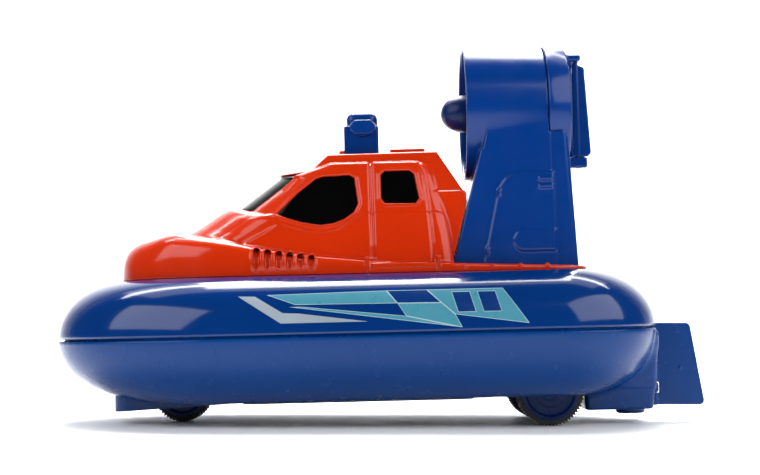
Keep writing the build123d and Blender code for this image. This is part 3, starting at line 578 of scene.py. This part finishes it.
def superstructure():
    """The orange moulding: cowl, cabin, roof, frames, grooves, vents and ribs."""
    space = Space((-112.5, 0, 22.2), (88.5, 40.0, 81.2), 0.5)
    x, y, z = space.x, space.y, space.z
    green, lower = cabin_fields(space)
    windows = [polygon(x, z, outline) for outline in (QUARTER_WINDOW, DOOR_WINDOW)]
    for outline in windows:
        green = green - 0.30 * ridge(outline - 1.0, 0.45) * (y > 14)
    body = smooth_min(green, lower, 0.5)

    # The door's front groove and the pillar's line behind it.
    groove = np.abs(x + 3.0 + 0.012 * (z - 50)) - 0.35
    groove = np.maximum(np.maximum(groove, 28.2 - z), z - 71.6)
    body = body + 0.8 * ridge(np.maximum(groove, 0), 0.45) * (y > 15)
    frame_line = np.abs(x - table(PILLAR_LINE, z)) - 0.25
    frame_line = np.maximum(frame_line, np.maximum(28.0 - z, z - 70))
    body = body + 0.6 * ridge(np.maximum(frame_line, 0), 0.4) * (y > 15)

    box_rear = box_field(space, (0, -26.2, 20), (36.2, 26.2, 58.2), 1.2)
    roof = smooth_max(polygon(x, z, ROOF_BOX), y - 18.2 - 0.40 * np.clip(75.4 - z, 0, 17), 1.2)
    body = smooth_min(body, box_rear, 0.8)
    body = smooth_min(body, roof, 0.8)
    cowl = cowl_field(space)
    whole = smooth_min(cowl, body, 1.3)

    # Six slanting vents, each a shallow dish with a raised rim.
    for number in range(6):
        place = -50.3 + 4.55 * number - 0.02 * number ** 2
        slot = capsule(space, place, 28.6, 34.5 - 0.66 * number, 1.3)
        dish = np.maximum(np.maximum(slot, -(cowl + 1.5)), 28 - y)
        whole = smooth_max(whole, -dish, 0.4)
        rim = ridge(slot - 0.6, 0.4) * (y > 29)
        whole = whole - 0.34 * rim * (slot > 0)

    # The step under the door: a rib at each end and three grooves between them.
    for place in (-5.4, 23.6):
        rib = box_field(space, (place - 0.6, 30, 23), (place + 0.6, 38.1, 31.2), 0.4)
        whole = smooth_min(whole, rib, 0.5)
    between = (x > -4.4) & (x < 22.6) & (y > 34.5)
    for height in (26.2, 27.5, 28.8):
        whole = whole + 0.35 * ridge(z - height, 0.3) * between

    # Openings for the windscreen and the side windows.
    windscreen = box_field(space, (-75, -20.2, 40), (-25, 20.2, 67.6), 1.5)
    screen_zone = np.maximum(windscreen, -(green + WINDOW_DEPTH))
    screen_zone = np.maximum(screen_zone, np.maximum(x + 30, 54.2 - (z + SCREEN_BOW * y ** 2)))
    whole = smooth_max(whole, -screen_zone, 0.4)
    for outline in windows:
        zone = np.maximum(np.maximum(outline, -(green + WINDOW_DEPTH)), 14 - y)
        whole = smooth_max(whole, -zone, 0.5)

    # The clip and the hatch on the roof, and the nubs along the flange.
    clip = box_field(space, (-16.6, -5.0, 74), (-12.6, 5.0, 78.4), 0.8)
    hatch = box_field(space, (5.2, -10.0, 74), (20.0, 10.0, 77.9), 0.5)
    whole = smooth_min(whole, np.minimum(clip, hatch), 0.6)
    for place in (34.1, 45.6, 57.0, 68.1):
        nub_y = 36.6 - 7.0 * (place - 30.0) / 56.2
        nub = np.sqrt((x - place) ** 2 + (y - nub_y) ** 2 + (z - 26.4) ** 2) - 1.0
        whole = smooth_min(whole, nub, 0.4)

    # The searchlight's bore, the tower's seat and the flat underside.
    bore = disc(x - LIGHT_X, y, 3.6)
    whole = np.maximum(whole, -np.maximum(bore, 72 - z))
    tower_seat = box_field(space, (28.4, -27.2, 10), (82.2, 27.2, 60), 0.3)
    tower_seat = np.maximum(tower_seat, 28.7 + 0.262 * (z - DECK_Z) - x)
    whole = np.maximum(whole, -np.maximum(tower_seat, 24.9 - z))
    whole = np.maximum(whole, DECK_Z - z)
    piece = moulded("cabin_and_cowl", space, whole)
    dress(piece, ORANGE, "cabin_orange", "hull", "superstructure")


def glazing():
    """Black panes set back inside their frames."""
    space = Space((-64.0, 0, 42.0), (20.0, 30.0, 70.0), 0.4)
    x, y, z = space.x, space.y, space.z
    green = cabin_fields(space)[0]
    pane = np.maximum(green + 0.75, -(green + 2.4))
    for name, outline in (("quarter_window", QUARTER_WINDOW), ("door_window", DOOR_WINDOW)):
        cut = np.maximum(polygon(x, z, outline) - 0.25, 14.5 - y)
        for side_name, side in SIDES:
            piece = one_side(f"{name}_pane_{side_name}", space, smooth_max(pane, cut, 0.4), side)
            dress(piece, GLAZING, "glazing_black", "hull", f"{name}_{side_name}")
    screen = box_field(space, (-75, -20.4, 40), (-31, 20.4, 67.8), 1.5)
    screen = np.maximum(screen, 54.0 - (z + SCREEN_BOW * y ** 2))
    piece = moulded("windscreen_pane", space, smooth_max(pane, screen, 0.4))
    dress(piece, GLAZING, "glazing_black", "hull", "windscreen")


# ---------------------------------------------------------------- fan tower

TOWER_BACK, TOWER_FOOT, TOWER_HALF = 81.9, 24.5, 26.9
TOWER_SIDE = (
    (28.9, TOWER_FOOT), (30.4, 31.4), (31.1, 31.6), (42.5, 75.0), (43.4, 75.4), (47.6, DUCT_Z),
    (78.4, DUCT_Z), (TOWER_BACK, TOWER_FOOT),
)
TOWER_HOLLOW = ((32.6, 10.0), (42.0, 62.0), (76.2, 62.0), (78.6, 10.0))
DOOR_PANEL = (
    (42.6, 10.0), (42.9, 28.3), (49.3, 56.8), (50.2, 59.6), (52.4, 62.6), (55.6, 64.6), (58.5, 65.2),
    (72.3, 65.0), (72.9, 10.0),
)


def tower_half(side_name, side):
    """Half of the fan duct and its tower, with the raised door, louvres and hinge nubs on its side."""
    space = Space((27.3, -1.0, 22.9), (84.0, 31.0, 124.0), 0.45)
    x, y, z = space.x, space.y, space.z
    leg = polygon(x, z, TOWER_SIDE)
    leg = smooth_max(leg, y - TOWER_HALF, 1.0)
    bevel = (x - (TOWER_BACK - 0.051 * (z - TOWER_FOOT)) + (y - TOWER_HALF) + 1.7) * 0.707
    leg = smooth_max(leg, bevel, 0.4)

    # Raised door, pad, louvres and hinge nubs, with a fine seam above the door.
    panel = np.maximum(polygon(x, z, DOOR_PANEL), z - 90)
    pad = disc(x - np.clip(x, 59.4, 90.0), z - 36.7, 4.3)
    pad = np.maximum(pad, x - 72.6)
    face = np.clip((y - 20) / 3, 0, 1)
    raise_by = 0.75 * plateau(panel, 0.30) + 0.65 * plateau(pad, 0.30)
    for height in (62.2, 59.0):
        louvre = disc(x - np.clip(x, 66.8, 71.2), z - height, 0.8)
        raise_by = raise_by + 0.7 * plateau(louvre, 0.28)
    for place, height in ((49.6, 57.0), (44.1, 33.0)):
        nub = disc(x - place, (z - height) / 2.0, 0.75)
        raise_by = raise_by + 0.8 * plateau(nub, 0.28)
    seam = ridge(x - 71.9, 0.35) * (z > 65) * (z < 84)
    leg = leg - (raise_by - 0.3 * seam) * face
    leg = np.maximum(leg, -np.maximum(polygon(x, z, TOWER_HOLLOW), y - 25.1))

    # The duct tapers aft, inside and out, and leaves room for the outlet ring.
    from_axis = disc(y, z - DUCT_Z, 0.0)
    outer = from_axis - (28.8 - 1.6 * np.clip((x - 37) / 36, 0, 1))
    inner = from_axis - (27.1 - 2.0 * np.clip((x - 37) / 44, 0, 1))
    duct = smooth_max(outer, np.abs(x - 55.0) - 18.0, 0.7)
    both = smooth_min(leg, duct, 1.0)
    both = smooth_max(both, -inner, 0.7)
    ring_room = np.maximum(from_axis - 28.9, 71.0 - x)
    ring_room = np.maximum(ring_room, 26.9 - from_axis)
    behind = np.maximum(from_axis - 28.9, 73.0 - x)
    both = np.maximum(both, -np.minimum(ring_room, behind))
    both = np.maximum(both, 0.03 - y)
    piece = one_side(f"fan_tower_{side_name}", space, both, side)
    dress(piece, TOWER_BLUE, "hull_blue", "hull", f"tower_half_{side_name}")


def duct_ring():
    """The outlet ring with its motor cup, spokes and rudder brackets."""
    space = Space((62.0, 0, 62.5), (90.5, 30.0, 124.0), 0.5)
    x, y, z = space.x, space.y, space.z
    height = z - DUCT_Z
    from_axis = disc(y, height, 0.0)
    outer = from_axis - (28.6 - 2.0 * np.clip((x - 71) / 10, 0, 1) ** 1.6)
    ring = smooth_max(outer, np.abs(x - 76.1) - 4.9, 1.2)
    ring = smooth_max(ring, 25.0 - from_axis, 0.8)
    ring = smooth_max(ring, -np.maximum(from_axis - 27.25, x - 73.0), 0.3)
    cup = smooth_max(from_axis - 9.6, np.abs(x - 71.0) - 7.0, 0.8)
    cup = np.maximum(cup, -np.maximum(from_axis - 8.1, x - 76.6))
    along_spoke = (y + np.abs(height)) * 0.7071
    across_spoke = np.abs(y - np.abs(height)) * 0.7071
    spoke = smooth_max(across_spoke - 0.9, np.abs(x - 75.6) - 2.4, 0.5)
    spoke = np.maximum(spoke, np.abs(along_spoke - 17.5) - 8.5)
    whole = smooth_min(smooth_min(ring, cup, 0.8), spoke, 0.8)
    lower_bracket = ((77, -12, 67.8), (88.6, 12, 72.3))
    upper_bracket = ((77, -15, 112.9), (86.6, 15, 115.5))
    for low, high in (lower_bracket, upper_bracket):
        whole = smooth_min(whole, box_field(space, low, high, 0.6), 0.6)
        hole = disc(x - VANE_X, y - VANE_Y, 1.08)
        whole = np.maximum(whole, -np.maximum(hole, np.abs(z - (low[2] + high[2]) / 2) - 4))
    piece = moulded("duct_outlet_ring", space, whole)
    dress(piece, TOWER_BLUE, "hull_blue", "hull", "duct_ring")


# ---------------------------------------------------------------- turned and flat pieces

def lathe(name, origin, axis, profile, segments=96):
    """Turn a profile of (distance along the axis, radius) pairs round an axis given in the hull frame."""
    axis = np.array(axis, float)
    side = np.cross(axis, (0.31, 0.52, 0.79))
    side /= np.linalg.norm(side)
    other = np.cross(axis, side)
    rings = []
    for distance, radius in profile:
        angles = np.arange(segments) * 2 * math.pi / segments
        spread = np.cos(angles)[:, None] * side + np.sin(angles)[:, None] * other
        rings.append(np.array(origin) + distance * axis + max(radius, 0.01) * spread)
    faces = []
    for ring in range(len(profile) - 1):
        for step in range(segments):
            after = (step + 1) % segments
            faces.append((ring * segments + step, ring * segments + after,
                          (ring + 1) * segments + after, (ring + 1) * segments + step))
    faces.append(tuple(range(segments))[::-1])
    faces.append(tuple(range((len(profile) - 1) * segments, len(profile) * segments)))
    mesh = bpy.data.meshes.new(name)
    mesh.from_pydata(to_world(np.concatenate(rings)).tolist(), [], faces)
    work = bmesh.new()
    work.from_mesh(mesh)
    bmesh.ops.recalc_face_normals(work, faces=work.faces)
    work.to_mesh(mesh)
    work.free()
    mesh.shade_smooth()
    piece = add(name, mesh)
    crisp(piece)
    return piece


def crisp(piece, angle=32.0):
    """Keep edges sharper than an angle sharp in an otherwise smooth piece."""
    work = bmesh.new()
    work.from_mesh(piece.data)
    for edge in work.edges:
        if len(edge.link_faces) == 2 and edge.calc_face_angle() > math.radians(angle):
            edge.smooth = False
    work.to_mesh(piece.data)
    work.free()


def rounded_profile(points, radius=0.3, steps=4):
    """Round the corners of an open profile with short arcs."""
    made = [points[0]]
    for before, corner, after in zip(points, points[1:], points[2:]):
        corner = np.array(corner, float)
        first, second = np.array(before) - corner, np.array(after) - corner
        reach = min(radius, np.linalg.norm(first) / 2.2, np.linalg.norm(second) / 2.2)
        start = corner + first / np.linalg.norm(first) * reach
        end = corner + second / np.linalg.norm(second) * reach
        for step in range(steps + 1):
            t = step / steps
            made.append(tuple((1 - t) ** 2 * start + 2 * t * (1 - t) * corner + t * t * end))
    made.append(points[-1])
    return made


def wheels():
    """Hub discs with turned rings and a round cap."""
    for side_name, side in SIDES:
        profile = rounded_profile([
            (0.0, 0.0), (0.0, 11.7), (8.9, 11.7), (8.9, 10.3), (8.2, 9.6), (8.2, 6.6), (8.5, 6.2),
            (8.5, 4.0), (9.0, 3.3), (9.1, 0.0),
        ], 0.35)
        centre = (REAR_AXLE_X, side * 20.6, REAR_AXLE_Z)
        hub = lathe(f"rear_wheel_disc_{side_name}", centre, (0, side, 0), profile)
        dress(hub, NAVY, "fan_navy", "rear_axle_set", f"rear_hub_{side_name}")
    profile = rounded_profile([
        (-5.0, 0.0), (-5.0, 2.4), (-4.4, 3.2), (-4.4, 8.4), (-5.0, 9.2), (-5.0, 10.4), (5.0, 10.4),
        (5.0, 9.2), (4.4, 8.4), (4.4, 3.2), (5.0, 2.4), (5.0, 0.0),
    ], 0.3)
    hub = lathe("front_wheel_disc", (STEERING_X, 0, FRONT_AXLE_Z), (0, 1, 0), profile)
    dress(hub, NAVY, "fan_navy", "front_wheel", "front_hub")


def spinner():
    """The fan's domed nose cap."""
    turns = np.linspace(0.0, math.pi / 2, 28)
    dome = [(27.6 + 9.6 * (1 - math.cos(t)), 8.0 * math.sin(t) ** 0.95) for t in turns]
    profile = dome + [(39.4, 8.0), (39.9, 7.6), (40.0, 0.0)]
    cap = lathe("spinner_cap", (0, 0, DUCT_Z), (1, 0, 0), profile)
    dress(cap, NAVY, "fan_navy", "fan_rotor", "spinner")


def water_rudder():
    """The flat stern rudder with its hinge tube and an ejector mark."""
    space = Space((112.4, 0, -36.0), (139.2, 3.4, 3.4), 0.35)
    x, y, z = space.x, space.y, space.z
    outline = ((WATER_RUDDER_X, -0.4), (129.9, -0.8), (134.8, -31.8), (WATER_RUDDER_X, -31.3))
    plate = polygon(x, z, outline) - 2.0
    plate = smooth_max(plate, y - 1.0, 0.4)
    plate = np.maximum(plate, WATER_RUDDER_X - x)
    dot = disc(x - 127.0, z + 18.0, 0.5)
    plate = plate - 0.25 * ridge(np.maximum(dot, 0), 0.3)
    tube = smooth_max(disc(x - WATER_RUDDER_X, y, 1.7), np.abs(z + 16.1) - 17.3, 0.4)
    whole = smooth_min(plate, tube, 0.5)
    for top in (-7.75, -23.75):
        gap = box_field(space, (110, -3, top - 4.5), (117.75, 3, top), 0.2)
        whole = np.maximum(whole, -gap)
    pin = disc(x - WATER_RUDDER_X, y, 1.0)
    whole = np.maximum(whole, -pin)
    piece = moulded("stern_rudder_plate", space, whole)
    dress(piece, LOWER_BLUE, "lower_blue", "stern_rudder", "water_rudder")


def air_rudders():
    """The two vanes behind the duct."""
    outline = ((84.2, 111.6), (87.8, 110.1), (89.7, 74.4), (88.8, 73.4), (83.8, 73.4))
    for side_name, side, body in (("port", -1, "air_rudder_left"), ("starboard", 1, "air_rudder_right")):
        space = Space((81.6, 7.8, 66.6), (91.6, 12.2, 116.8), 0.35)
        x, y, z = space.x, space.y, space.z
        vane = smooth_max(polygon(x, z, outline) - 0.8, np.abs(y - VANE_Y) - 0.9, 0.5)
        stem = disc(x - VANE_X, y - VANE_Y, 1.0)
        stem = smooth_max(stem, np.abs(z - 91.6) - 23.6, 0.3)
        piece = one_side(f"air_vane_{side_name}", space, smooth_min(vane, stem, 0.4), side)
        dress(piece, TOWER_BLUE, "hull_blue", body, f"air_rudder_{side_name}")


def searchlight():
    """The pivoting searchlight: a forked post, a rounded head and faceted bosses."""
    space = Space((-16.5, 0, 71.6), (3.0, 9.4, 96.0), 0.3)
    x, y, z = space.x, space.y, space.z
    post = np.maximum(box_field(space, (-14.3, -6.2, 73.0), (0.5, 6.2, 88.8), 1.0), 75.7 - z)
    post = smooth_max(post, -box_field(space, (-20, -4.3, 78.9), (8, 4.3, 100), 0.3), 0.4)
    hole = disc(x - LIGHT_X, z - LIGHT_TILT_Z, 1.56)
    post = np.maximum(post, -hole)
    swivel = disc(x - LIGHT_X, y, 0.0)
    post = np.minimum(post, np.maximum(swivel - 3.5, np.abs(z - 74.8) - 2.0))
    post = np.minimum(post, np.maximum(swivel - 5.0, np.abs(z - 72.5) - 0.7))
    piece = moulded("searchlight_fork", space, post)
    dress(piece, TOWER_BLUE, "hull_blue", "searchlight_mount", "searchlight_post")
    head = box_field(space, (-13.2, -4.0, 80.9), (0.2, 4.0, 94.9), 3.4)
    lamp_hole = disc(y, z - 88.4, 0.0)
    head = smooth_max(head, -np.maximum(lamp_hole - 2.6, x + 10.9), 0.4)
    head = np.maximum(head, -np.maximum(lamp_hole - 1.9, x + 7.5))
    axle = np.maximum(disc(x - LIGHT_X, z - LIGHT_TILT_Z, 1.5), y - 6.6)
    piece = moulded("searchlight_body", space, np.minimum(head, axle))
    dress(piece, TOWER_BLUE, "hull_blue", "searchlight_lamp_head", "searchlight_head")
    across, level = np.abs(x + 6.2), np.abs(z - 87.8)
    octagon = np.maximum(np.maximum(across - 5.7, level - 3.4), (across + level - 6.9) * 0.707)
    boss = smooth_max(octagon + 0.25 * (y - 6.6), y - 8.4, 0.4)
    boss = np.maximum(boss, 6.6 - y)
    for side_name, side in SIDES:
        piece = one_side(f"searchlight_cap_{side_name}", space, boss, side)
        dress(piece, TOWER_BLUE, "hull_blue", "searchlight_lamp_head", f"searchlight_boss_{side_name}")


# ---------------------------------------------------------------- side graphics

FILM_STEP, FILM_THICKNESS, BORDER = 0.7, 0.04, 0.22


def side_y(z):
    """Half width of the upper shell's straight flank at a height."""
    rise = np.clip((np.asarray(z, float) - SEAM) / (UPPER_TOP - SEAM), 0, 1)
    return HALF_BEAM - UPPER_INSETS[1] * (1 - np.sqrt(1 - rise ** 2))


def shrink(corners, margin):
    """A polygon with every edge moved in by a margin."""
    area = sum(a[0] * b[1] - b[0] * a[1] for a, b in zip(corners, corners[1:] + corners[:1]))
    turn = 1 if area > 0 else -1
    lines = []
    for a, b in zip(corners, corners[1:] + corners[:1]):
        along = np.array(b, float) - np.array(a, float)
        inward = turn * np.array((-along[1], along[0])) / np.linalg.norm(along)
        lines.append((np.array(a, float) + inward * margin, along))
    made = []
    for (p, d), (q, e) in zip(lines[-1:] + lines[:-1], lines):
        t = np.linalg.solve(np.array((d, -e)).T, q - p)[0]
        made.append(tuple(p + t * d))
    return made


def sticker(name, corners, side, lift, material, slot):
    """A thin printed film that follows the hull's flank."""
    work = bmesh.new()
    work.faces.new([work.verts.new((x, 0, z)) for x, z in corners])
    low, high = min(z for _, z in corners), max(z for _, z in corners)
    for height in np.arange(math.ceil(low / FILM_STEP) * FILM_STEP, high, FILM_STEP):
        parts = work.verts[:] + work.edges[:] + work.faces[:]
        bmesh.ops.bisect_plane(work, geom=parts, plane_co=(0, 0, height), plane_no=(0, 0, 1))
    for vertex in work.verts:
        rise = (vertex.co.z - SEAM) / (UPPER_TOP - SEAM)
        run = (UPPER_TOP - SEAM) * math.sqrt(max(1 - rise ** 2, 0.01))
        tilt = math.atan2(UPPER_INSETS[1] * rise, run)
        x, z = vertex.co.x, vertex.co.z
        vertex.co = (x, side * (float(side_y(z)) + lift * math.cos(tilt)), z + lift * math.sin(tilt))
    bmesh.ops.triangulate(work, faces=work.faces)
    mesh = bpy.data.meshes.new(name)
    bmesh.ops.recalc_face_normals(work, faces=work.faces)
    if sum(face.normal.y * face.calc_area() for face in work.faces) * side < 0:
        bmesh.ops.reverse_faces(work, faces=work.faces)
    for vertex in work.verts:
        vertex.co = to_world([vertex.co[:]])[0]
    bmesh.ops.solidify(work, geom=work.faces[:], thickness=FILM_THICKNESS * MM)
    work.to_mesh(mesh)
    work.free()
    dress(add(name, mesh), material, slot, "hull")


def side_graphics():
    """Plain racing stripes on both flanks."""
    framed = {
        "bar": ([(-44.9, 16.2), (2.0, 16.9), (6.2, 11.8), (-33.6, 12.1)], TEAL),
        "blade": ([(-36.0, 11.3), (-31.0, 11.3), (9.4, 6.8), (31.2, 1.9)], TEAL),
        "flag": ([(2.0, 16.9), (17.8, 16.9), (23.4, 11.6), (6.2, 11.8)], DECAL_BLUE),
        "wing": ([(17.8, 16.9), (47.6, 16.9), (57.2, 2.9), (28.6, 7.0), (23.4, 11.6)], TEAL),
        "tail": ([(6.2, 11.8), (23.4, 11.6), (28.6, 7.0), (31.2, 1.9), (9.4, 6.8)], TEAL),
        "slash_a": ([(27.4, 15.8), (34.6, 15.8), (36.8, 7.7), (29.6, 7.7)], DECAL_BLUE),
        "slash_b": ([(37.4, 15.8), (44.6, 15.8), (46.8, 7.7), (39.6, 7.7)], DECAL_BLUE),
    }
    for side_name, side in SIDES:
        chevron = [(-56.1, 15.9), (-49.5, 15.7), (-38.5, 9.0), (-32.3, 8.7), (-5.4, 5.0), (-39.3, 5.0)]
        sticker(f"stripe_chevron_{side_name}", chevron, side, 0.08, SILVER, "hull_blue")
        for shape_name, (corners, material) in framed.items():
            lift = 0.07 if "slash" not in shape_name else 0.17
            sticker(f"stripe_{shape_name}_edge_{side_name}", corners, side, lift, OUTLINE, "hull_blue")
            inner = shrink(corners, BORDER)
            sticker(f"stripe_{shape_name}_{side_name}", inner, side, lift + 0.05, material, "hull_blue")


# ---------------------------------------------------------------- studio

def soft_light(name, place, target, size, power, colour=(1.0, 1.0, 1.0)):
    """A rectangular softbox aimed at a point; sizes in metres."""
    data = bpy.data.lights.new(name, "AREA")
    data.shape = "RECTANGLE"
    data.size, data.size_y = size
    data.energy = power
    data.color = colour
    light = add(name, data)
    light.location = place
    light.rotation_euler = (Vector(target) - Vector(place)).to_track_quat("-Z", "Y").to_euler()


def studio():
    """Pale sweep, soft light and a dim room."""
    floor_mesh = bpy.data.meshes.new("studio_sweep")
    rows = [(-3.0, 0.0), (1.1, 0.0)]
    turns = np.linspace(0.1, math.pi / 2, 14)
    rows += [(1.1 + 0.8 * math.sin(t), 0.8 - 0.8 * math.cos(t)) for t in turns]
    rows += [(1.9, 3.2)]
    points = [(x, y, z) for y, z in rows for x in (-3.5, 3.5)]
    faces = [(2 * i, 2 * i + 1, 2 * i + 3, 2 * i + 2) for i in range(len(rows) - 1)]
    floor_mesh.from_pydata(points, [], faces)
    floor_mesh.shade_smooth()
    floor = add("studio_sweep", floor_mesh)
    white = plastic("sweep_white", (0.90, 0.90, 0.90), 0.55, tint=0.01, grain=0.0, wave=0.0)
    floor_mesh.materials.append(white)
    world = bpy.data.worlds.new("room")
    world.use_nodes = True
    background = world.node_tree.nodes["Background"].inputs
    background["Color"].default_value = (0.62, 0.78, 1.0, 1)
    background["Strength"].default_value = 0.07
    bpy.context.scene.world = world
    bpy.context.scene.view_settings.view_transform = "Standard"
    soft_light("overhead_rear", (0.01, 0.60, 0.98), (0.0, 0.0, 0.05), (0.60, 0.90), 24.0)
    soft_light("front_left", (-0.98, -0.75, 0.82), (-0.05, 0.0, 0.07), (1.30, 1.00), 12.5)
    soft_light("front_right", (1.02, -0.72, 0.84), (0.05, 0.0, 0.07), (1.70, 1.05), 17.0)
    soft_light("backdrop_wash", (0.0, 0.7, 1.5), (0.0, 1.7, 0.4), (2.4, 0.5), 52.0)
    soft_light("floor_wash", (0.0, 0.60, 1.75), (0.0, -0.1, 0.0), (2.4, 1.1), 13.0)


def camera():
    """A low view of the port side, tipped up a little."""
    tipped_up = 3.25
    data = bpy.data.cameras.new("camera")
    data.sensor_width = 36.0
    data.lens = 69.87
    data.clip_start = 0.01
    made = add("camera", data)
    made.location = (-0.0010, -0.6332, 0.0425)
    made.rotation_euler = (math.radians(90 + tipped_up), 0, 0)
    bpy.context.scene.camera = made


dress_nodes()
upper_hull()
lower_hull()
superstructure()
glazing()
for side_name, side in SIDES:
    tower_half(side_name, side)
duct_ring()
wheels()
spinner()
water_rudder()
air_rudders()
searchlight()
side_graphics()
studio()
camera()
